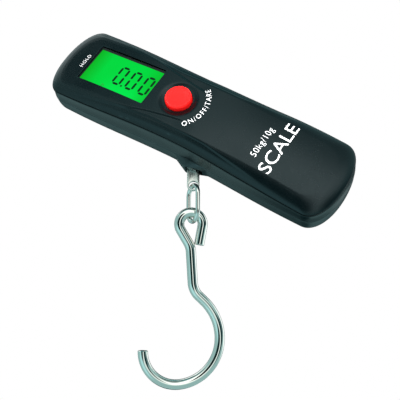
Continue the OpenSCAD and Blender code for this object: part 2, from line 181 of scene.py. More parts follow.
def mix(a, b, t):
    return a + (b - a) * t


def catmull(points, steps):
    """A smooth curve through points, each span of it cut in steps parts."""
    p = np.asarray(points, float)
    ends = np.concatenate([2 * p[:1] - p[1:2], p, 2 * p[-1:] - p[-2:-1]])
    out = []
    for i in range(len(p) - 1):
        a, b, c, d = ends[i], ends[i + 1], ends[i + 2], ends[i + 3]
        for k in range(steps):
            t = k / steps
            out.append(
                0.5 * (2 * b + (c - a) * t + (2 * a - 5 * b + 4 * c - d) * t * t
                       + (3 * b - a - 3 * c + d) * t ** 3)
            )
    out.append(p[-1])
    return np.array(out)


def make_object(name, verts, faces, merge=1e-4):
    """A mesh object from points in millimetres, cleaned and facing outwards."""
    bm = bmesh.new()
    made = [bm.verts.new(Vector(v) * MM) for v in np.asarray(verts, float).tolist()]
    for f in faces:
        if len(set(f)) > 2:
            try:
                bm.faces.new([made[i] for i in f])
            except ValueError:
                pass
    bmesh.ops.remove_doubles(bm, verts=bm.verts, dist=merge * MM)
    bmesh.ops.recalc_face_normals(bm, faces=bm.faces)
    mesh = bpy.data.meshes.new(name)
    bm.to_mesh(mesh)
    bm.free()
    obj = bpy.data.objects.new(name, mesh)
    bpy.context.scene.collection.objects.link(obj)
    return obj


def select_only(obj):
    bpy.ops.object.select_all(action="DESELECT")
    obj.select_set(True)
    bpy.context.view_layer.objects.active = obj


def smooth_shade(obj, degrees=32):
    select_only(obj)
    bpy.ops.object.shade_smooth_by_angle(angle=math.radians(degrees))
    return obj


def apply_modifier(obj, modifier):
    select_only(obj)
    bpy.ops.object.modifier_apply(modifier=modifier.name)


def cut(obj, cutters):
    """Takes the cutters away from obj, all at once, and deletes them."""
    tool = join(cutters, "cutter")
    modifier = obj.modifiers.new("cut", "BOOLEAN")
    modifier.operation = "DIFFERENCE"
    modifier.solver = "EXACT"
    modifier.use_self = False
    modifier.object = tool
    apply_modifier(obj, modifier)
    bpy.data.objects.remove(tool)
    return obj


def join(objs, name):
    select_only(objs[0])
    for o in objs[1:]:
        o.select_set(True)
    if len(objs) > 1:
        bpy.ops.object.join()
    objs[0].name = name
    return objs[0]


def bevel(obj, width, segments=3, degrees=35):
    modifier = obj.modifiers.new("edge", "BEVEL")
    modifier.width = width * MM
    modifier.segments = segments
    modifier.limit_method = "ANGLE"
    modifier.angle_limit = math.radians(degrees)
    modifier.harden_normals = False
    apply_modifier(obj, modifier)
    return obj


def stand_in(obj, body, node):
    """Lets obj ride on body and be seen in place of a CAD node."""
    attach(obj, body)
    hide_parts(node)


# ---------------- revolves and sweeps

# A direction that lies along none of the axes turned about
SLANT = (0.3, 0.2, 1.0)


def ring_faces(rings, around, closed=False, caps=True):
    faces = []
    last = rings if closed else rings - 1
    for j in range(last):
        a, b = j * around, ((j + 1) % rings) * around
        for i in range(around):
            k = (i + 1) % around
            faces.append((a + i, a + k, b + k, b + i))
    if caps and not closed:
        faces.append(tuple(reversed(range(around))))
        faces.append(tuple((rings - 1) * around + i for i in range(around)))
    return faces


def revolve(name, profile, at, axis, around=64):
    """Turns [radius, height] pairs about a line through at along axis."""
    axis = unit(axis)
    side = unit(np.cross(axis, SLANT))
    other = np.cross(axis, side)
    verts = []
    for r, h in profile:
        for i in range(around):
            a = 2 * math.pi * i / around
            verts.append(np.array(at) + h * axis + r * (math.cos(a) * side + math.sin(a) * other))
    return make_object(name, verts, ring_faces(len(profile), around))


def box_object(name, lo, hi):
    """A box between two corners, for ribs and as a cutter."""
    x, y, z = zip(lo, hi)
    verts = [(x[i], y[j], z[k]) for i in (0, 1) for j in (0, 1) for k in (0, 1)]
    faces = [(0, 1, 3, 2), (4, 6, 7, 5), (0, 4, 5, 1), (2, 3, 7, 6), (0, 2, 6, 4), (1, 5, 7, 3)]
    return make_object(name, verts, faces)


def sweep(name, path, tangents, normal, r, around=40, closed=False, chamfer=0.0):
    """Round wire along a flat path. chamfer breaks the edge of each cut end."""
    path, tangents = np.array(path, float), np.array(tangents, float)
    radii = np.full(len(path), float(r))
    if chamfer:
        path = np.concatenate([[path[0]], [path[0] + chamfer * tangents[0]], path[1:-1],
                               [path[-1] - chamfer * tangents[-1]], [path[-1]]])
        tangents = np.concatenate([[tangents[0]], tangents, [tangents[-1]]])
        radii = np.concatenate([[r - chamfer], np.full(len(path) - 2, float(r)), [r - chamfer]])
    verts = []
    for p, t, rad in zip(path, tangents, radii):
        n = unit(np.cross(t, normal))
        for i in range(around):
            a = 2 * math.pi * i / around
            verts.append(p + rad * (math.cos(a) * n + math.sin(a) * np.asarray(normal)))
    return make_object(name, verts, ring_faces(len(path), around, closed))


# ---------------- casing surface

def face(x):
    return FACE_DEPTH - FACE_ARCH * (np.asarray(x, float) / HALF_LEN) ** 2


def half_w(x):
    x = np.asarray(x, float)
    end_w = np.where(x < 0, DISPLAY_HALF_W, BATTERY_HALF_W)
    swell = np.sin(math.pi / 2 * np.minimum(1, np.abs(x) / HALF_LEN / WAIST_SHARE)) ** 2
    d = np.clip((HALF_LEN - np.abs(x)) / END_ROUND, 0, 1)
    return mix(WAIST_HALF_W, end_w, swell) * (1 - (1 - d) ** END_POWER) ** (1 / END_POWER)


def boss_floor(x):
    """Height of the outlet's slanting floor."""
    return np.maximum(-FLOOR_LOW + FLOOR_SLOPE * (x - FLOOR_X), REAR_LO[2])


def boss(x):
    """How far the hanger outlet stands out below the rear shell."""
    return np.maximum(0, np.minimum(BOSS_FLANK * (x - BOSS_X0), -boss_floor(x) - half_w(x)))


def outline():
    """Evenly spaced points round the casing's outline."""
    s = np.linspace(-1, 1, OUTLINE_SAMPLES)
    x = HALF_LEN * (0.85 * np.sin(math.pi / 2 * s) + 0.15 * s)
    z = half_w(x)
    run = np.concatenate([[0], np.cumsum(np.hypot(np.diff(x), np.diff(z)))])
    at = np.linspace(0, run[-1], AROUND // 2 + 1)
    xs, zs = np.interp(at, run, x), np.interp(at, run, z)
    return np.concatenate([xs, xs[-2:0:-1]]), np.concatenate([zs, -zs[-2:0:-1]])


def panel_drop(x, z):
    """How far the face lies below its arch: the low strips beside the display panel and
    along both edges, the crowned grip and the dish round the button."""
    x, z = np.asarray(x, float), np.asarray(z, float)
    line = np.interp(x, PANEL_LINE_X, PANEL_LINE_Z)
    fade = smooth(x, *PANEL_FADE_IN) * (1 - smooth(x, *PANEL_FADE_OUT))
    strips = PANEL_STEP * fade * smooth(np.abs(z), line - 0.1, line + 0.75)
    line = np.interp(x, FACE_LINE_X, FACE_LINE_Z)
    fade = smooth(x, *FACE_FADE_IN) * (1 - smooth(x, *FACE_FADE_OUT))
    edges = FACE_STEP * fade * smooth(np.abs(z), line - 0.1, line + 0.4)
    crown = CROWN * smooth(x, *CROWN_FADE_IN) * (z / CROWN_HALF_W) ** 2
    r = np.hypot(x - BUTTON_X, z)
    dish = DISH_DEPTH * (1 - smooth(r, *DISH_R))
    return strips + edges + crown + dish


def face_at(x, z):
    """Distance of the finished face from the parting plane."""
    return face(x) - panel_drop(x, z)


# The front shell's section, outside, from the parting plane inwards, as [inset, share
# of the depth]: a fluted wall, a groove, a sloping strip and the edge of the face. At
# the battery end the strip runs out into a rounder shoulder.
CREASED = [
    (0.28, 0.0), (0.04, 0.02), (0.0, 0.05), (0.1, 0.2), (0.15, 0.36), (0.12, 0.5), (0.05, 0.6),
    (0.06, 0.665), (0.5, 0.677), (0.75, 0.69), (0.7, 0.705), (0.32, 0.728), (0.45, 0.76), (0.95, 0.82),
    (1.5, 0.872), (2.2, 0.92), (3.1, 0.957), (3.8, 0.98), (5.2, 1.0),
]
PLAIN = [
    (0.28, 0.0), (0.04, 0.02), (0.0, 0.05), (0.07, 0.2), (0.12, 0.36), (0.1, 0.5), (0.05, 0.6),
    (0.06, 0.665), (0.5, 0.677), (0.75, 0.69), (0.7, 0.705), (0.3, 0.728), (0.42, 0.76), (0.85, 0.81),
    (1.5, 0.862), (2.4, 0.912), (3.5, 0.952), (4.6, 0.98), (6.0, 1.0),
]
FRONT_INSIDE = [(6.4, 1), (4.2, 0.8), (2.6, 0.45), (WALL, 0.02), (WALL + 0.1, 0)]
# The rear's also has its share of the hanger outlet
REAR_OUTSIDE = [
    (0.28, 0.0, 0.0), (0.04, 0.03, 0.15), (0.0, 0.08, 0.5), (0.05, 0.14, 0.9), (0.1, 0.2, 1.2),
    (0.2, 0.4, 1.3), (0.5, 0.62, 1.3), (0.8, 0.74, 1.3), (1.15, 0.82, 1.3), (1.85, 0.91, 0.7),
    (2.5, 0.97, 0.35), (3.4, 1.0, 0.12),
]
REAR_INSIDE = [(6, 1), (2.4, 0.7), (WALL, 0.02), (WALL + 0.1, 0)]
# Where the creased section turns into the plain one, along X
PLAIN_FADE_IN = (14, 46)
# The inner faces are flat from the middle out to this inset
FLAT_INSET = 7
FACE_RINGS = 44
REAR_RINGS = 10


def inset_points(xs, zs, inset):
    """The outline's points moved inwards by inset."""
    return xs * (1 - inset / HALF_LEN), zs * (1 - inset / MEAN_HALF_W)


def inside_rings(xs, zs, section, depth_at):
    """The hollow of a shell, from the middle of its inner face out to the parting plane."""
    flat = [(inset, 1) for inset in np.linspace(MEAN_HALF_W, FLAT_INSET, 4)]
    rings = []
    for inset, share in flat + section:
        x, z = inset_points(xs, zs, inset)
        rings.append(np.stack([x, share * depth_at(x), z], 1))
    return rings


def front_posts():
    """Bosses that the casing screws bite into, and stepped pegs that carry the board."""
    posts = []
    for x, z in CASE_POSTS:
        depth = float(face(x)) - CASE_POST_GAP
        profile = [(0.6, -depth), (2.4, -depth), (2.4, -0.05), (1.3, -0.05), (1.3, -5), (0.6, -5)]
        posts.append(revolve("post", profile, (x, 0, z), (0, 1, 0), 32))
    for x, z in BOARD_POSTS:
        depth = float(face(x)) - BOARD_POST_GAP
        profile = [(0.4, -depth), (1.6, -depth), (1.6, -4.65), (0.9, -4.65), (0.9, -7.4), (0.4, -7.4)]
        posts.append(revolve("post", profile, (x, 0, z), (0, 1, 0), 24))
    return posts


def front_shell():
    """The casing half with the face: a closed skin, opened for the display and the button."""
    xs, zs = outline()
    plain = smooth(xs, *PLAIN_FADE_IN)
    creased_in = catmull(CREASED, 4)
    plain_in = catmull(PLAIN, 4)
    rings = inside_rings(xs, zs, FRONT_INSIDE, lambda x: -(face(x) - WALL))
    for (i0, s0), (i1, s1) in zip(creased_in, plain_in):
        inset = mix(i0, i1, plain)
        share = mix(s0, s1, plain)
        x, z = inset_points(xs, zs, inset)
        rings.append(np.stack([x, -share * face_at(x, z), z], 1))
    last = mix(creased_in[-1][0], plain_in[-1][0], plain)
    for k in range(1, FACE_RINGS + 1):
        inset = mix(last, MEAN_HALF_W, k / FACE_RINGS)
        x, z = inset_points(xs, zs, inset)
        rings.append(np.stack([x, -face_at(x, z), z], 1))
    verts = np.concatenate(rings)
    obj = make_object("front_case", verts, ring_faces(len(rings), AROUND, caps=False))
    cut(obj, [window_cutter(), button_cutter()])
    obj = join([obj] + front_posts(), "front_case")
    smooth_shade(obj, 38)
    stand_in(obj, "casing", "front_shell")
    return obj


DISPLAY_TILT = math.atan(2 * FACE_ARCH * DISPLAY_X / HALF_LEN ** 2)


def display_point(u, depth, w):
    """A point u along the display, depth behind the face and w up, in the casing's frame."""
    c, s = math.cos(DISPLAY_TILT), math.sin(DISPLAY_TILT)
    return np.array([DISPLAY_X + c * u - s * depth, -float(face(DISPLAY_X)) + s * u + c * depth, w])


def rounded_rect(half_u, half_v, r, steps=4):
    """Corners of a rectangle with rounded corners, as points [along, up]."""
    pts = []
    for cu, cw, a0 in ((1, 1, 0), (-1, 1, 90), (-1, -1, 180), (1, -1, 270)):
        for k in range(steps + 1):
            a = math.radians(a0 + 90 * k / steps)
            pts.append((cu * (half_u - r) + r * math.cos(a), cw * (half_v - r) + r * math.sin(a)))
    return pts


def window_edge(grow, r, steps=4):
    """Corners of the window opening, grown outwards by grow, as points [along, up]."""
    left, bottom, right, top = WINDOW_PAST
    half_u = (DISPLAY_LEN + left + right) / 2 + grow
    half_v = (DISPLAY_H + bottom + top) / 2 + grow
    u0, v0 = (right - left) / 2, (top - bottom) / 2
    return [(u0 + u, v0 + v) for u, v in rounded_rect(half_u, half_v, r, steps)]


def window_cutter():
    """The window opening, from before the face to behind the display."""
    verts = []
    levels = [-3, DISPLAY_RECESS + 1.6]
    pts = window_edge(0, WINDOW_CORNER_R)
    for depth in levels:
        verts += [display_point(u, depth, w) for u, w in pts]
    return make_object("window", verts, ring_faces(len(levels), len(pts)))


def window_rim():
    """The fine raised lip round the display window, lying on the arched face."""
    section = [(0.0, -0.75), (0.0, 0.06), (0.1, 0.15), (0.3, 0.15), (0.52, -0.08)]
    verts = []
    for out, up in section:
        for u, w in window_edge(out, WINDOW_CORNER_R + out, 6):
            x = DISPLAY_X + math.cos(DISPLAY_TILT) * u
            verts.append((x, -float(face_at(x, w)) - up, w))
    n = len(verts) // len(section)
    obj = make_object("window_rim", verts, ring_faces(len(section), n, closed=True))
    smooth_shade(obj, 40)
    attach(obj, "casing")
    return obj


def button_cutter():
    """The button's hole, with a flared edge."""
    top = float(face(BUTTON_X))
    return revolve("hole", [(BUTTON_R + 0.9, -top - 0.3), (BUTTON_R + 0.22, -top + 0.75),
                            (BUTTON_R + 0.22, -top + 4)], (BUTTON_X, 0, 0), (0, 1, 0), 96)


def rear_posts():
    """Tubes that the casing screws go down, and the two ribs at the ends of the bay."""
    posts = []
    for x, z in CASE_POSTS:
        profile = [(1.4, 0), (3, 0), (3, REAR_DEPTH - 0.9), (COUNTERBORE_R, REAR_DEPTH - 0.9),
                   (COUNTERBORE_R, COUNTERBORE_Y), (1.4, COUNTERBORE_Y)]
        posts.append(revolve("post", profile, (x, 0, z), (0, 1, 0), 40))
    for x0, x1 in RIBS_X:
        posts.append(box_object("rib", (x0, -1.5, -RIB_HALF_W), (x1, REAR_DEPTH - 1, RIB_HALF_W)))
    return posts


def rear_shell():
    """The casing half with the hanger outlet, the battery bay and the screws' bores."""
    xs, zs = outline()
    outside = catmull(REAR_OUTSIDE, 4)
    rings = inside_rings(xs, zs, REAR_INSIDE, lambda x: np.full_like(x, REAR_DEPTH - WALL))

    def outer_ring(inset, share, outlet):
        x, z = inset_points(xs, zs, inset)
        low = np.minimum(z, np.maximum(boss_floor(x), z - outlet * boss(x)))
        z = np.where(z < 0, low, z)
        return np.stack([x, np.full_like(x, min(share, 1.0) * REAR_DEPTH), z], 1)

    for inset, share, outlet in outside:
        rings.append(outer_ring(inset, share, outlet))
    for k in range(1, REAR_RINGS + 1):
        t = k / REAR_RINGS
        rings.append(outer_ring(mix(outside[-1][0], MEAN_HALF_W, t), 1.0, outside[-1][2] * (1 - t) ** 2))
    obj = make_object("rear_case", np.concatenate(rings), ring_faces(len(rings), AROUND, caps=False))
    bay_lo = (BAY_X[0], REAR_DEPTH - 4, -BAY_HALF_W)
    bay_hi = (BAY_X[1], REAR_DEPTH + 1, BAY_HALF_W)
    cutters = [box_object("bay", bay_lo, bay_hi), mouth_cutter()]
    for x, z in CASE_POSTS:
        profile = [(COUNTERBORE_R, COUNTERBORE_Y), (COUNTERBORE_R, REAR_DEPTH - 0.2),
                   (COUNTERBORE_R + 0.45, REAR_DEPTH + 0.25)]
        cutters.append(revolve("bore", profile, (x, 0, z), (0, 1, 0), 48))
    cut(obj, cutters)
    obj = join([obj] + rear_posts(), "rear_case")
    smooth_shade(obj, 38)
    stand_in(obj, "casing", "rear_shell")
    return obj


def mouth_cutter():
    """The slot the strap hangs from, with a flared lip."""
    levels = [(0.3, 0.4), (-0.35, 0.0), (None, 0.0)]
    middle, half = (MOUTH_X[0] + MOUTH_X[1]) / 2, (MOUTH_X[1] - MOUTH_X[0]) / 2
    verts = []
    for below, grow in levels:
        for u, w in rounded_rect(half + grow, MOUTH_W / 2 + grow, 1.2, 6):
            x = middle + u
            z = -8.0 if below is None else float(boss_floor(x)) - below
            verts.append((x, HANGER[1] + w, z))
    return make_object("mouth", verts, ring_faces(len(levels), len(verts) // len(levels)))


# ---------------- display

def display_prism(name, outline_uw, depth, thick):
    """A thin flat shape lying depth behind the face in the display's plane."""
    n = len(outline_uw)
    verts = [display_point(u, depth, w) for u, w in outline_uw]
    verts += [display_point(u, depth - thick, w) for u, w in outline_uw]
    return make_object(name, verts, ring_faces(2, n))


def segment(p, q, half):
    """A seven-segment bar from p to q with pointed ends, as six corners."""
    p, q = np.array(p, float), np.array(q, float)
    t = unit(q - p)
    n = np.array([-t[1], t[0]])
    a, b = p + t * half, q - t * half
    return [p, a - n * half, b - n * half, q, b + n * half, a + n * half]


def lcd_digits():
    """0.00 in seven-segment figures."""
    width, height = DIGIT_SIZE
    z0, z1, zm = DIGIT_FOOT, DIGIT_FOOT + height, DIGIT_FOOT + height / 2
    bars = []
    for cx in DIGITS_X:
        x0, x1 = cx - width / 2, cx + width / 2
        ends = [((x0 + BAR_GAP, z), (x1 - BAR_GAP, z)) for z in (z0, z1)]
        for x in (x0, x1):
            ends += [((x, z0 + BAR_GAP), (x, zm - BAR_GAP)), ((x, zm + BAR_GAP), (x, z1 - BAR_GAP))]
        bars += [segment(p, q, BAR_HALF_W) for p, q in ends]
    corners = ((-1, -1), (1, -1), (1, 1), (-1, 1))
    bars.append([(DOT_X + i * DOT_HALF_W, DIGIT_FOOT + j * DOT_HALF_W) for i, j in corners])
    objs = [display_prism("bar", bar, DISPLAY_RECESS - LIFT, 0.03) for bar in bars]
    obj = join(objs, "lcd_digits")
    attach(obj, "casing")
    return obj


def lcd_marks():
    """The faint outlined triangle of an idle indicator."""
    cx, cz, s = -4.7, -7.8, 0.9
    tri = [(cx - s, cz - s), (cx + s, cz), (cx - s, cz + s)]
    inner = [(cx - 0.55 * s, cz - 0.4 * s), (cx + 0.3 * s, cz), (cx - 0.55 * s, cz + 0.4 * s)]
    loops = ((tri, LIFT), (tri, 0.02), (inner, 0.02), (inner, LIFT))
    verts = [display_point(u, DISPLAY_RECESS - d, w) for pts, d in loops for u, w in pts]
    obj = make_object("lcd_idle_mark", verts, ring_faces(4, len(tri), closed=True))
    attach(obj, "casing")
    return obj


def lcd_mask():
    """The black printed border just inside the window."""
    outer = window_edge(0.2, 0.2, 2)
    inner = rounded_rect(DISPLAY_LEN / 2, DISPLAY_H / 2, 0.15, 2)
    verts = []
    for pts, depth in ((outer, 0.0), (outer, 0.04), (inner, 0.04), (inner, 0.0)):
        verts += [display_point(u, DISPLAY_RECESS - LIFT - depth, w) for u, w in pts]
    obj = make_object("lcd_mask", verts, ring_faces(4, len(outer), closed=True))
    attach(obj, "casing")
    return obj


# ---------------- labels

# White ink: its thickness, and how deep its underside lies in the face
INK_THICK = 0.06
INK_SINK = 0.02
# Points closer than this are one point, finer in letters than elsewhere
LETTER_MERGE = 1e-6


def letters(text, width, thin, spacing):
    """Letters as points [along, up, out] in mm, width wide and centred, with their faces."""
    curve = bpy.data.curves.new("text", "FONT")
    curve.body = text
    curve.extrude = 0.5
    curve.offset = -thin
    curve.space_character = spacing
    curve.resolution_u = 4
    obj = bpy.data.objects.new("text", curve)
    bpy.context.scene.collection.objects.link(obj)
    dg = bpy.context.evaluated_depsgraph_get()
    mesh = bpy.data.meshes.new_from_object(obj.evaluated_get(dg))
    co = np.array([v.co for v in mesh.vertices], float)
    faces = [tuple(p.vertices) for p in mesh.polygons]
    bpy.data.objects.remove(obj)
    scale = width / np.ptp(co[:, 0])
    middle = (co[:, 0].min() + co[:, 0].max()) / 2
    out = np.stack([(co[:, 0] - middle) * scale, co[:, 1] * scale, (co[:, 2] + 0.5) * INK_THICK], 1)
    return out, faces


def straight_label(name, text, x_base, z_mid, width, squeeze=1.0, thin=0.0, spacing=1.0):
    """Letters read up the casing, their tops towards the display end."""
    pts, faces = letters(text, width, thin, spacing)
    x = x_base - pts[:, 1] * squeeze
    z = z_mid + pts[:, 0]
    y = -face_at(x, z) - pts[:, 2] + INK_SINK
    obj = make_object(name, np.stack([x, y, z], 1), faces, merge=LETTER_MERGE)
    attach(obj, "casing")
    return obj


def arc_label(name, text, radius, start, end, thin=0.0, spacing=1.0):
    """Letters in an arc round the button, their tops towards it."""
    arc = math.radians(end - start) * radius
    pts, faces = letters(text, arc, thin, spacing)
    angle = math.radians((start + end) / 2) + pts[:, 0] / radius
    r = radius - pts[:, 1]
    x = BUTTON_X + r * np.cos(angle)
    z = r * np.sin(angle)
    y = -face_at(x, z) - pts[:, 2] + INK_SINK
    obj = make_object(name, np.stack([x, y, z], 1), faces, merge=LETTER_MERGE)
    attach(obj, "casing")
    return obj


# ---------------- button

def power_button():
    t = BUTTON_TOP
    flange, collar = FLANGE_Y
    profile = [
        (0.01, 9.6), (2.1, 9.6), (2.2, 9.7), (2.2, flange), (FLANGE_R - 0.1, flange),
        (FLANGE_R, flange + 0.1), (FLANGE_R, collar - 0.1), (FLANGE_R - 0.1, collar),
        (BUTTON_R, collar), (BUTTON_R, t - 1.05),
        (BUTTON_R - 0.04, t - 0.72), (BUTTON_R - 0.16, t - 0.44), (BUTTON_R - 0.36, t - 0.2),
        (BUTTON_R - 0.62, t - 0.05), (BUTTON_R - 0.95, t), (BUTTON_R - 1.3, t - 0.03),
        (BUTTON_R - 1.7, t - 0.1), (BUTTON_R - 2.3, t - 0.22), (BUTTON_R - 3.2, t - 0.34),
        (BUTTON_R - 4.4, t - 0.42), (0.01, t - 0.45),
    ]
    obj = revolve("power_key", profile, (BUTTON_X, 0, 0), (0, -1, 0), 96)
    smooth_shade(obj, 40)
    stand_in(obj, "button", "power_button")
    return obj


# ---------------- strap, link and hook

def lean_dir(a, b):
    """Downwards, but leaning a degrees along X and b degrees along Y."""
    return unit([math.tan(math.radians(a)), math.tan(math.radians(b)), -1])


def across(d, twist):
    """The flat direction of a wire part that hangs along d, twisted from facing the front."""
    front = unit(np.array([0, -1, 0]) + d[1] * d)
    side = np.cross(d, front)
    t = math.radians(twist)
    return math.cos(t) * front + math.sin(t) * side


STRAP_DIR = np.array([math.sin(STRAP_LEAN), 0, -math.cos(STRAP_LEAN)])
LINK_DIR = lean_dir(31.6, 16.7)
LINK_ACROSS = across(LINK_DIR, -34.7)
LINK_TOP = HANGER + (STRAP_LEN + LINK_SEAT) * STRAP_DIR
LINK_FOOT = LINK_TOP + (2 * LINK_BEND_R + LINK_STRAIGHT) * LINK_DIR
HOOK_DIR = lean_dir(30.2, 27.6)
HOOK_ACROSS = across(HOOK_DIR, -105.6)
HOOK_DROP = unit(HOOK_DIR - (HOOK_DIR @ LINK_ACROSS) * LINK_ACROSS)
HOOK_TOP = LINK_FOOT - (LINK_WIRE_R + HOOK_WIRE_R + HOOK_SEAT) * HOOK_DROP
# The hook's wire as it is bent, from the end in the eye to the tip: feed, then bend
# radius and angle in degrees
HOOK_START = (2.7, 13.15)
HOOK_HEADING = -79.5
HOOK_BENDS = [
    (7.9, 4.9, -221), (6.1, 8.1, 27), (12.9, 8.2, -43),
    (3, 21, 49), (0, 18.5, 83), (0, 13.6, 96),
]


def strap():
    """Flat strap with round ends, a pin hole and a link hole."""
    steps = 40
    outline_pts = []
    for end, turn in ((0, 0), (-STRAP_LEN, math.pi)):
        for k in range(steps + 1):
            a = turn + math.pi * k / steps
            outline_pts.append((STRAP_HALF_W * math.cos(a), end + STRAP_HALF_W * math.sin(a)))
    side = np.cross([0, 1, 0], STRAP_DIR)

    def place(a, b, y):
        return HANGER + a * side - b * STRAP_DIR + np.array([0, y, 0])

    verts = [place(a, b, y) for y in (-STRAP_T / 2, STRAP_T / 2) for a, b in outline_pts]
    obj = make_object("strap_plate", verts, ring_faces(2, len(outline_pts)))
    tools = []
    for reach, r in ((0.0, PIN_HOLE_R), (STRAP_LEN, LINK_HOLE_R)):
        at = HANGER + reach * STRAP_DIR
        tools.append(revolve("hole", [(r, -3), (r, 3)], at, (0, 1, 0), 64))
    cut(obj, tools)
    bevel(obj, STRAP_EDGE)
    smooth_shade(obj, 35)
    stand_in(obj, "strap", "hanger_strap")
    return obj


def link():
    """Oval link of round wire, welded on one side."""
    flat, heading = [], []
    steps, parts = 36, 8
    for side, start in ((1, 0), (-1, LINK_STRAIGHT)):
        for k in range(steps + 1):
            a = math.pi * k / steps
            bend = LINK_BEND_R * (1 - side * math.sin(a))
            flat.append((-side * LINK_BEND_R * math.cos(a), bend + start))
            heading.append((side * math.sin(a), -side * math.cos(a)))
        for k in range(1, parts):
            run = start + side * LINK_STRAIGHT * k / parts
            flat.append((side * LINK_BEND_R, LINK_BEND_R + run))
            heading.append((0, side))
    path = [LINK_TOP + a * LINK_ACROSS + b * LINK_DIR for a, b in flat]
    tangents = [a * LINK_ACROSS + b * LINK_DIR for a, b in heading]
    normal = np.cross(LINK_ACROSS, LINK_DIR)
    obj = sweep("wire_link", path, tangents, normal, LINK_WIRE_R, 32, closed=True)
    smooth_shade(obj, 60)
    stand_in(obj, "link", "oval_link")
    return obj


def bend_path(table, start, heading, step=2.5):
    """Points and headings of a wire bent by a table of (feed, radius, angle)."""
    p, th = np.array(start, float), math.radians(heading)
    out = []
    for feed, r, turn in table:
        ahead = np.array([math.cos(th), math.sin(th)])
        if feed:
            parts = max(2, int(feed / 1.2))
            out += [(p + feed * k / parts * ahead, th) for k in range(parts)]
        q = p + feed * ahead
        s = math.copysign(1, turn)
        centre = q + s * r * np.array([-math.sin(th), math.cos(th)])
        parts = max(3, int(abs(turn) / step))
        for k in range(parts):
            a = th + math.radians(turn) * k / parts
            out.append((centre + s * r * np.array([math.sin(a), -math.cos(a)]), a))
        th += math.radians(turn)
        p = centre + s * r * np.array([math.sin(th), -math.cos(th)])
    out.append((p, th))
    return out


def hook():
    """Open hook of round wire, bent cold, its ends cut square."""
    bends = bend_path(HOOK_BENDS, HOOK_START, HOOK_HEADING)
    path = [HOOK_TOP + p[0] * HOOK_ACROSS + p[1] * HOOK_DIR for p, _ in bends]
    tangents = [math.cos(a) * HOOK_ACROSS + math.sin(a) * HOOK_DIR for _, a in bends]
    normal = np.cross(HOOK_ACROSS, HOOK_DIR)
    obj = sweep("wire_hook", path, tangents, normal, HOOK_WIRE_R, 48, chamfer=0.3)
    smooth_shade(obj, 30)
    stand_in(obj, "hook", "hook")
    return obj


# ---------------- back parts

DOOR_EDGE = 0.35
DOOR_GROOVES = 5
GROOVE_PITCH = 2.0
# Half length along X, half length along Z and corner radius of a groove, and its depth
GROOVE_SIZE = (0.5, 7.0, 0.45)
GROOVE_DEPTH = 0.5


def battery_door():
    """The sliding door, with finger grooves near its outer end."""
    obj = box_object("battery_door", COVER_LO, COVER_HI)
    bevel(obj, DOOR_EDGE)
    tools = []
    pts = rounded_rect(*GROOVE_SIZE)
    levels = (COVER_HI[1] - GROOVE_DEPTH, COVER_HI[1] + 1)
    for i in range(1, DOOR_GROOVES + 1):
        x = COVER_HI[0] - 1.5 - GROOVE_PITCH * i
        verts = [(x + u, y, w) for y in levels for u, w in pts]
        tools.append(make_object("groove", verts, ring_faces(2, len(pts))))
    cut(obj, tools)
    smooth_shade(obj, 35)
    stand_in(obj, "cover", "battery_cover")
    return obj


# A casing screw's profile: the shank as [radius, y], the head as [radius, height above
# its seat]. CROSS_* is the recess in the head
SCREW_SHANK = [(0.01, -4.4), (0.9, -4.4), (1.2, -4.0), (1.2, COUNTERBORE_Y)]
SCREW_HEAD = [
    (2.3, 0), (2.3, 0.55), (2.22, 0.95), (1.95, 1.3), (1.5, 1.5), (0.8, 1.59), (0.01, 1.6),
]
CROSS_HALF_LEN = 1.35
CROSS_HALF_W = 0.3
# Height above the seat and width of the recess at its bottom and past its top
CROSS_LEVELS = ((0.75, 0.45), (2, 1.0))


def cross_bars(x, z):
    """The two bars of a cross recess, each screw's turned its own way."""
    turn = math.radians(17 * (x + z) % 90)
    bars = []
    for quarter in (0, math.pi / 2):
        d = np.array([math.cos(turn + quarter), 0, math.sin(turn + quarter)])
        e = np.array([-d[2], 0, d[0]])
        verts = []
        for up, grow in CROSS_LEVELS:
            for a, b in ((1, 1), (-1, 1), (-1, -1), (1, -1)):
                middle = np.array([x, COUNTERBORE_Y + up, z])
                verts.append(middle + CROSS_HALF_LEN * grow * a * d + CROSS_HALF_W * b * e)
        bars.append(make_object("bar", verts, ring_faces(2, 4)))
    return bars


def screws():
    """Four pan-head screws with cross recesses, down in the counterbores."""
    profile = SCREW_SHANK + [(r, COUNTERBORE_Y + up) for r, up in SCREW_HEAD]
    objs = []
    for x, z in CASE_POSTS:
        screw = revolve("screw", profile, (x, 0, z), (0, 1, 0), 40)
        for bar in cross_bars(x, z):
            cut(screw, [bar])
        objs.append(screw)
    obj = join(objs, "case_screws")
    smooth_shade(obj, 35)
    stand_in(obj, "casing", "casing_screws")
    return obj


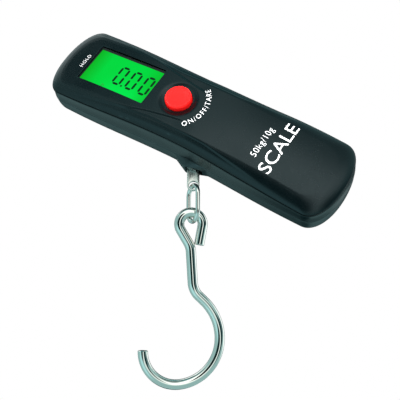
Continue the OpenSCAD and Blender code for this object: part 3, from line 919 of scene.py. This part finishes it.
def cells():
    """Two AAA cells laid head to tail: sleeves, and bare steel ends."""
    y = (CELLS_LO[1] + CELLS_HI[1]) / 2
    length = CELLS_HI[0] - CELLS_LO[0]
    r = (CELLS_HI[1] - CELLS_LO[1]) / 2
    z = CELLS_HI[2] - r
    sleeves, ends = [], []
    for side in (1, -1):
        x0 = CELLS_LO[0] if side > 0 else CELLS_HI[0]
        sleeve = [
            (r - 1.1, 0.12), (r - 0.5, 0.05), (r - 0.12, 0.2), (r, 0.6), (r, length - 1.7),
            (r - 0.15, length - 1.15), (r - 0.6, length - 0.86), (r - 1.2, length - 0.86),
            (r - 1.2, length - 1.1), (r - 1.1, 0.5),
        ]
        can = [
            (0.01, 0.02), (r - 1.6, 0.0), (r - 1.3, 0.15), (r - 0.95, 0.22), (r - 0.95, length - 1.0),
            (2.5, length - 0.95), (2.1, length - 0.8), (1.9, length - 0.7), (1.9, length - 0.12),
            (1.75, length), (0.01, length),
        ]
        at = (x0, y, side * z)
        sleeves.append(revolve("sleeve", sleeve + [sleeve[0]], at, (side, 0, 0), 64))
        ends.append(revolve("can", can, at, (side, 0, 0), 64))
    sleeve_obj = smooth_shade(join(sleeves, "cell_sleeves"), 35)
    can_obj = smooth_shade(join(ends, "cell_cans"), 35)
    stand_in(sleeve_obj, "casing", "aaa_cells")
    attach(can_obj, "casing")
    return sleeve_obj, can_obj


# ---------------- materials

def new_material(name):
    material = bpy.data.materials.new(name)
    material.use_nodes = True
    nodes, links = material.node_tree.nodes, material.node_tree.links
    return material, nodes, links, nodes["Principled BSDF"]


NOISE_ROUGHNESS = 0.55


def put(node, values):
    """Sets a node's inputs from a dict of their names and values."""
    for name, value in values.items():
        node.inputs[name].default_value = value


def object_coords(nodes):
    """The object's coordinates, from one node per material."""
    coords = nodes.get("coords") or nodes.new("ShaderNodeTexCoord")
    coords.name = "coords"
    return coords.outputs["Object"]


def object_axes(nodes, links):
    """The object's coordinates as X, Y and Z apart."""
    split = nodes.new("ShaderNodeSeparateXYZ")
    links.new(object_coords(nodes), split.inputs["Vector"])
    return split.outputs


def noise(nodes, links, scale, detail=4.0):
    """Cloudy noise of about 0 to 1."""
    tex = nodes.new("ShaderNodeTexNoise")
    put(tex, {"Scale": scale, "Detail": detail, "Roughness": NOISE_ROUGHNESS})
    links.new(object_coords(nodes), tex.inputs["Vector"])
    return tex.outputs["Fac"]


def ramp(nodes, links, source, low, high, a, b):
    """A number going from a to b as source goes from low to high."""
    node = nodes.new("ShaderNodeMapRange")
    put(node, {"From Min": low, "From Max": high, "To Min": a, "To Max": b})
    links.new(source, node.inputs["Value"])
    return node.outputs["Result"]


def colour_mix(nodes, links, factor, a, b):
    """Colour a turning into b with factor. Either is a triple or a socket."""
    node = nodes.new("ShaderNodeMix")
    node.data_type = "RGBA"
    for socket, value in ((node.inputs["A"], a), (node.inputs["B"], b)):
        if isinstance(value, tuple):
            socket.default_value = (*value, 1)
        else:
            links.new(value, socket)
    links.new(factor, node.inputs["Factor"])
    return [s for s in node.outputs if s.type == "RGBA"][0]


# Depth of the fine grain, in metres
GRAIN_DEPTH = 0.0002
# Where the pointiness of an edge starts and stops counting as worn, and how worn it gets
WORN_FROM, WORN_TO, WORN_SHARE = 0.53, 0.6, 0.55


def finish(name, colour, roughness, metallic=0.0, vary=0.12, rough_vary=0.06, coarse=90.0,
           fine=2600.0, bump=0.02, worn=None, tint=None, specular=0.5):
    """A surface with colour mottle, uneven gloss, a fine grain and worn edges."""
    material, nodes, links, shader = new_material(name)
    slow = noise(nodes, links, coarse)
    quick = noise(nodes, links, fine, 6.0)
    darker = tuple(c * (1 - vary) for c in colour)
    lighter = tuple(min(1.0, c * (1 + vary)) for c in colour)
    base = colour_mix(nodes, links, slow, darker, lighter)
    if worn:
        edges = nodes.new("ShaderNodeNewGeometry").outputs["Pointiness"]
        edge_mask = ramp(nodes, links, edges, WORN_FROM, WORN_TO, 0.0, WORN_SHARE)
        base = colour_mix(nodes, links, edge_mask, base, worn)
    links.new(base, shader.inputs["Base Color"])
    links.new(ramp(nodes, links, slow, 0.3, 0.7, roughness - rough_vary, roughness + rough_vary),
              shader.inputs["Roughness"])
    put(shader, {"Metallic": metallic, "Specular IOR Level": specular})
    if tint:
        put(shader, {"Specular Tint": (*tint, 1)})
    if bump:
        node = nodes.new("ShaderNodeBump")
        put(node, {"Strength": bump, "Distance": GRAIN_DEPTH})
        links.new(quick, node.inputs["Height"])
        links.new(node.outputs["Normal"], shader.inputs["Normal"])
    return material


def lcd_material(name):
    """Backlit green, brightest low in the middle and yellower and darker at the sides."""
    material, nodes, links, shader = new_material(name)
    axes = object_axes(nodes, links)
    middle = DISPLAY_X * MM
    half = DISPLAY_LEN / 2 * MM
    near_left = ramp(nodes, links, axes["X"], middle - half, middle - 0.55 * half, 1.0, 0.0)
    near_right = ramp(nodes, links, axes["X"], middle + 0.6 * half, middle + half, 0.0, 0.6)
    glow = ramp(nodes, links, axes["X"], middle - 0.5 * half, middle, 0.0, 1.0)
    uneven = noise(nodes, links, 60.0, 2.0)
    body = colour_mix(nodes, links, uneven, (0.0, 0.62, 0.035), (0.0, 0.74, 0.06))
    lit = colour_mix(nodes, links, glow, body, (0.0, 0.86, 0.085))
    low = ramp(nodes, links, axes["Z"], -DISPLAY_H / 2 * MM, 0.0, 0.8, 0.0)
    body = colour_mix(nodes, links, low, body, lit)
    edge_colour = (0.004, 0.42, 0.01)
    body = colour_mix(nodes, links, near_left, body, edge_colour)
    body = colour_mix(nodes, links, near_right, body, edge_colour)
    links.new(body, shader.inputs["Emission Color"])
    put(shader, {"Emission Strength": 0.93, "Base Color": (0.0, 0.03, 0.003, 1),
                 "Specular IOR Level": 0.03, "Roughness": 0.35})
    return material


def arithmetic(nodes, links, operation, *values):
    """The result of a sum on sockets or numbers."""
    node = nodes.new("ShaderNodeMath")
    node.operation = operation
    for socket, value in zip(node.inputs, values):
        if isinstance(value, float):
            socket.default_value = value
        else:
            links.new(value, socket)
    return node.outputs[0]


def striped_sleeve(name):
    """Printed battery sleeve: a copper band at the positive end and a dark body."""
    material, nodes, links, shader = new_material(name)
    axes = object_axes(nodes, links)
    length = (CELLS_HI[0] - CELLS_LO[0]) * MM
    middle = (CELLS_HI[0] + CELLS_LO[0]) / 2 * MM
    from_mid = arithmetic(nodes, links, "SUBTRACT", axes["X"], float(middle))
    side = arithmetic(nodes, links, "SIGN", axes["Z"])
    to_head = arithmetic(nodes, links, "MULTIPLY", from_mid, side)
    band = ramp(nodes, links, to_head, 0.2 * length, 0.205 * length, 0.0, 1.0)
    grime = noise(nodes, links, 150.0)
    dark = colour_mix(nodes, links, grime, (0.02, 0.02, 0.022), (0.035, 0.034, 0.034))
    copper = colour_mix(nodes, links, grime, (0.5, 0.22, 0.07), (0.62, 0.3, 0.11))
    links.new(colour_mix(nodes, links, band, dark, copper), shader.inputs["Base Color"])
    links.new(ramp(nodes, links, grime, 0.3, 0.7, 0.24, 0.34), shader.inputs["Roughness"])
    links.new(ramp(nodes, links, band, 0, 1, 0.0, 0.7), shader.inputs["Metallic"])
    return material


def metal(name, colour, roughness, **more):
    return finish(name, colour, roughness, metallic=1.0, **more)


def paint(obj, material):
    obj.data.materials.clear()
    obj.data.materials.append(material)


# ---------------- assembly

TEAL_TINT = (0.8, 0.95, 1.0)
BLACK = finish("black_abs", (0.0006, 0.0026, 0.0032), 0.27, vary=0.2, rough_vary=0.03, bump=0.005,
               worn=(0.006, 0.016, 0.018), tint=TEAL_TINT)
BLACK_REAR = finish("black_abs_rear", (0.0015, 0.005, 0.0055), 0.38, vary=0.2, rough_vary=0.04,
                    bump=0.05, worn=(0.010, 0.024, 0.026), tint=TEAL_TINT, specular=0.9)
CHROME = metal("chrome_plate", (0.90, 0.87, 0.82), 0.05, vary=0.04, rough_vary=0.02, coarse=160, bump=0.012)
NICKEL = metal("nickel_plate", (0.96, 0.92, 0.86), 0.34, vary=0.08, coarse=260, bump=0.04)
RED = finish("red_key", (0.9, 0.010, 0.009), 0.42, vary=0.05, rough_vary=0.03, specular=0.25)
WHITE_INK = finish("white_ink", (0.93, 0.95, 0.95), 0.5, vary=0.03)
LCD_DARK = finish("lcd_segment", (0.0, 0.014, 0.004), 0.5, vary=0.1, bump=0, specular=0.1)
LCD_FAINT = finish("lcd_faint", (0.0, 0.20, 0.012), 0.4, vary=0.1, bump=0)
MASK = finish("black_mask", (0.004, 0.006, 0.006), 0.45, vary=0.1, bump=0)

paint(front_shell(), BLACK)
paint(window_rim(), BLACK)
paint(rear_shell(), BLACK_REAR)

paint(power_button(), RED)
paint(lcd_digits(), LCD_DARK)
paint(lcd_marks(), LCD_FAINT)
paint(lcd_mask(), MASK)

paint(straight_label("label_hold", "HOLD", x_base=-58.4, z_mid=0.0, width=7.2, thin=0.012, spacing=1.15),
      WHITE_INK)
paint(arc_label("label_keys", "ON/OFF/TARE", radius=14.0, start=-50, end=49, thin=0.004, spacing=1.25),
      WHITE_INK)
paint(straight_label("label_range", "50kg/10g", x_base=35.2, z_mid=-0.7, width=15.0, thin=0.01,
                     spacing=1.08), WHITE_INK)
paint(straight_label("label_word", "SCALE", x_base=43.6, z_mid=0.4, width=25.0, squeeze=0.86), WHITE_INK)

paint(strap(), NICKEL)
paint(link(), CHROME)
paint(hook(), CHROME)

paint(battery_door(), BLACK_REAR)
paint(screws(), metal("zinc_screw", (0.55, 0.56, 0.58), 0.3, vary=0.15, coarse=400, bump=0.05))
sleeve, can = cells()
paint(sleeve, striped_sleeve("cell_print"))
paint(can, metal("cell_steel", (0.68, 0.69, 0.7), 0.25, vary=0.08, coarse=300))

# CAD nodes shown as they are, with their own finishes
KEPT = {
    "lcd_glass": lcd_material("lcd_green"),
    "backlight_panel": finish("light_guide", (0.75, 0.86, 0.72), 0.4, vary=0.05, coarse=200, specular=0.6),
    "lcd_frame": finish("frame_white", (0.7, 0.7, 0.66), 0.5, vary=0.06, coarse=150, bump=0.03),
    "lcd_ribbon": finish("ribbon", (0.42, 0.24, 0.06), 0.35, vary=0.2, coarse=500),
    "circuit_board": finish("board_green", (0.012, 0.12, 0.035), 0.35, vary=0.25, coarse=320, bump=0.06),
    "board_components": finish("chip_black", (0.012, 0.012, 0.013), 0.5, vary=0.3, coarse=500, bump=0.1),
    "board_screws": metal("small_screw", (0.5, 0.5, 0.52), 0.32, vary=0.15, coarse=500),
    "tact_switch": finish("switch_body", (0.04, 0.042, 0.045), 0.45, vary=0.2, coarse=400, bump=0.05),
    "switch_plunger": finish("plunger_ivory", (0.78, 0.76, 0.68), 0.4, vary=0.05, coarse=300),
    "load_cell": metal("cell_aluminium", (0.62, 0.63, 0.65), 0.34, vary=0.1, coarse=260, bump=0.08),
    "strain_gauges": finish("gauge_foil", (0.5, 0.26, 0.05), 0.4, vary=0.2, coarse=600, bump=0.05),
    "gauge_wires": finish("wire_red", (0.32, 0.02, 0.02), 0.45, vary=0.15, coarse=500),
    "load_cell_screws": metal("cap_screw", (0.3, 0.3, 0.32), 0.35, vary=0.2, coarse=400),
    "load_clevis": metal("clevis_steel", (0.42, 0.44, 0.45), 0.32, vary=0.15, coarse=350, bump=0.06),
    "clevis_screw": metal("clevis_screw_zinc", (0.5, 0.51, 0.53), 0.3, vary=0.15, coarse=400),
    "strap_pin": metal("pin_steel", (0.6, 0.62, 0.63), 0.22, vary=0.1, coarse=400),
    "spring_contacts": metal("spring_nickel", (0.66, 0.66, 0.64), 0.25, vary=0.12, coarse=500),
    "plate_contacts": metal("plate_nickel", (0.68, 0.68, 0.66), 0.28, vary=0.12, coarse=400, bump=0.05),
    "battery_wires": finish("wire_pair", (0.18, 0.015, 0.015), 0.45, vary=0.2, coarse=400),
}
for node_name, material in KEPT.items():
    obj = frame["nodes"][node_name]
    paint(obj, material)
    smooth_shade(obj, 35)


# ---------------- stage

# Soft boxes as name, place, aim, size and power, in metres and watts. Surfaces mirror
# the room below instead of these
LIGHTS = [
    ("key", (0.25, -0.75, 0.25), (0, 0, -0.02), (0.5, 0.4), 9.0),
    ("fill", (-0.6, -0.5, -0.1), (0, 0, -0.03), (0.6, 0.6), 4.0),
    ("top", (0.0, 0.1, 0.7), (0, 0, 0), (0.7, 0.7), 5.0),
]


def area_light(name, at, aim, size, power):
    data = bpy.data.lights.new(name, "AREA")
    data.shape = "RECTANGLE"
    data.size, data.size_y = size
    data.energy = power
    obj = bpy.data.objects.new(name, data)
    bpy.context.scene.collection.objects.link(obj)
    obj.location = at
    obj.rotation_mode = "QUATERNION"
    obj.rotation_quaternion = (Vector(aim) - Vector(at)).to_track_quat("-Z", "Y")
    obj.visible_glossy = False
    obj.visible_camera = False


# The studio as surfaces mirror it: a teal grey room hung with bright and dark cards.
# Each card is (azimuth, elevation, half angle of the core, of the soft edge, colour),
# the azimuth in degrees from +X towards +Y
ROOM = (0.30, 0.51, 0.51)
AMBIENT = (0.6, 0.6, 0.6)
CARDS = [
    (-150, 50, 14, 30, (0.04, 0.25, 0.27)),
    (-147, 24, 8, 18, (0.01, 0.07, 0.08)),
    (-82, 8, 8, 46, (1.45, 1.55, 1.5)),
    (-92, 52, 12, 28, (0.22, 0.32, 0.32)),
    (92, -24, 15, 20, (0.01, 0.05, 0.06)),
    (-112, -62, 16, 30, (0.45, 0.82, 0.85)),
    (35, 42, 14, 36, (1.1, 1.25, 1.25)),
    (178, 32, 12, 30, (0.95, 1.1, 1.1)),
    (112, 26, 30, 40, (0.01, 0.035, 0.035)),
    (-97, 14, 5, 18, (1.4, 1.55, 1.5)),
    (-90, -17, 21, 26, (0.006, 0.022, 0.022)),
    (-108, -26, 5, 10, (0.02, 0.05, 0.05)),
    (-70, -18, 4, 9, (0.006, 0.022, 0.022)),
    (-50, 8, 8, 15, (0.12, 0.18, 0.17)),
    (-38, 4, 11, 17, (0.008, 0.03, 0.032)),
    (-26, 18, 8, 13, (0.008, 0.04, 0.045)),
    (-5, 38, 7, 15, (0.06, 0.11, 0.14)),
]


def world():
    """White to the eye, a neutral light, and the room with its cards to what surfaces mirror."""
    w = bpy.data.worlds.new("studio")
    bpy.context.scene.world = w
    w.use_nodes = True
    nodes, links = w.node_tree.nodes, w.node_tree.links
    nodes.clear()
    out = nodes.new("ShaderNodeOutputWorld")
    coords = nodes.new("ShaderNodeTexCoord")
    room = ROOM
    for azimuth, elevation, inner, outer, colour in CARDS:
        az, el = math.radians(azimuth), math.radians(elevation)
        dot = nodes.new("ShaderNodeVectorMath")
        dot.operation = "DOT_PRODUCT"
        dot.inputs[1].default_value = (math.cos(el) * math.cos(az), math.cos(el) * math.sin(az), math.sin(el))
        links.new(coords.outputs["Generated"], dot.inputs[0])
        card = ramp(nodes, links, dot.outputs["Value"],
                    math.cos(math.radians(outer)), math.cos(math.radians(inner)), 0.0, 1.0)
        room = colour_mix(nodes, links, card, room, colour)
    seen = nodes.new("ShaderNodeBackground")
    put(seen, {"Color": (1, 1, 1, 1)})
    mirrored = nodes.new("ShaderNodeBackground")
    links.new(room, mirrored.inputs["Color"])
    ambient = nodes.new("ShaderNodeBackground")
    put(ambient, {"Color": (*AMBIENT, 1)})
    path = nodes.new("ShaderNodeLightPath")
    source = ambient.outputs[0]
    for kind, light in (("Is Glossy Ray", mirrored), ("Is Camera Ray", seen)):
        choose = nodes.new("ShaderNodeMixShader")
        links.new(path.outputs[kind], choose.inputs[0])
        links.new(source, choose.inputs[1])
        links.new(light.outputs[0], choose.inputs[2])
        source = choose.outputs[0]
    links.new(source, out.inputs["Surface"])


# Below the lowest the hook can hang, in metres
FLOOR_Z = -0.34
FLOOR_SIZE = 8
FLOOR_GLOW = 0.6


def floor():
    """A plain pale floor that lights the object from below and isn't mirrored in it."""
    bpy.ops.mesh.primitive_plane_add(size=FLOOR_SIZE, location=(0, 0, FLOOR_Z))
    obj = bpy.context.active_object
    obj.name = "floor"
    material = finish("floor_white", (0.35, 0.35, 0.35), 0.8, vary=0.01, bump=0)
    shader = material.node_tree.nodes["Principled BSDF"]
    put(shader, {"Emission Color": (1, 1, 1, 1), "Emission Strength": FLOOR_GLOW})
    paint(obj, material)
    obj.visible_glossy = False


world()
floor()
for light in LIGHTS:
    area_light(*light)


# The photograph's camera: where it stands in millimetres, its own right and back, and
# its lens and sensor width
CAMERA_AT = (139.5397, -284.0102, -147.012)
CAMERA_RIGHT = (0.8291, 0.1207, 0.5460)
CAMERA_BACK = (0.3584, -0.8642, -0.3532)
CAMERA_LENS = 72.343
SENSOR_WIDTH = 36.0


def camera():
    data = bpy.data.cameras.new("view")
    data.sensor_fit = "HORIZONTAL"
    data.sensor_width = SENSOR_WIDTH
    data.lens = CAMERA_LENS
    data.clip_start, data.clip_end = 0.01, 20
    obj = bpy.data.objects.new("view", data)
    bpy.context.scene.collection.objects.link(obj)
    right = Vector(CAMERA_RIGHT).normalized()
    back = Vector(CAMERA_BACK).normalized()
    up = back.cross(right).normalized()
    right = up.cross(back)
    place = Matrix((right, up, back)).transposed().to_4x4()
    place.translation = Vector(CAMERA_AT) * MM
    obj.matrix_world = place
    bpy.context.scene.camera = obj


camera()
bpy.context.scene.view_settings.view_transform = "Standard"
